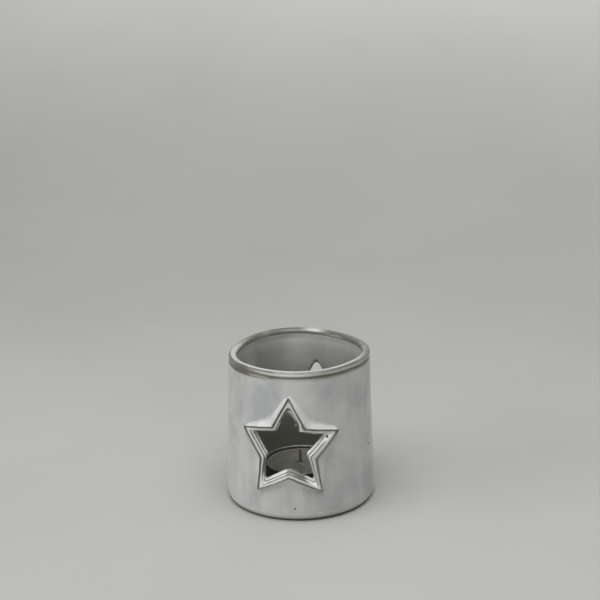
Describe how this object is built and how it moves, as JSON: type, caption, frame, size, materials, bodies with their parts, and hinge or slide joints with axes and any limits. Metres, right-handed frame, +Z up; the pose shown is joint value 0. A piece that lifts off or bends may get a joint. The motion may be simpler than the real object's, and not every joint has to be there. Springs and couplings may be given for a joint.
{
  "type": "tealight holder",
  "caption": "Small tapered stoneware cup for a tealight, with raised star-shaped windows in front and behind and a pale grey reactive glaze.",
  "frame": {"origin": "centre of the foot ring's underside, which is the bottom centre of the bounding box", "axes": "+Z up the cup's axis towards the rim, -Y towards the front star, +X to the right seen from the front"},
  "size_m": [0.08, 0.0816, 0.0815],
  "materials": {
    "glaze": "glossy pale grey reactive glaze that breaks brown on the edges",
    "foil": "dull drawn foil",
    "wax": "smooth dark grey paraffin wax",
    "steel_tab": "tinned",
    "wick": "braided waxed cotton"
  },
  "bodies": {
    "holder": {"holder_body": "glaze"},
    "tealight": {"tealight_cup": "foil", "tealight_wax": "wax", "wick_sustainer": "steel_tab", "tealight_wick": "wick"}
  },
  "joints": [
    {"name": "tealight_lift", "type": "slide", "parent": "holder", "child": "tealight", "axis": [0, 0, 1], "range_m": [0, 0.085]}
  ]
}
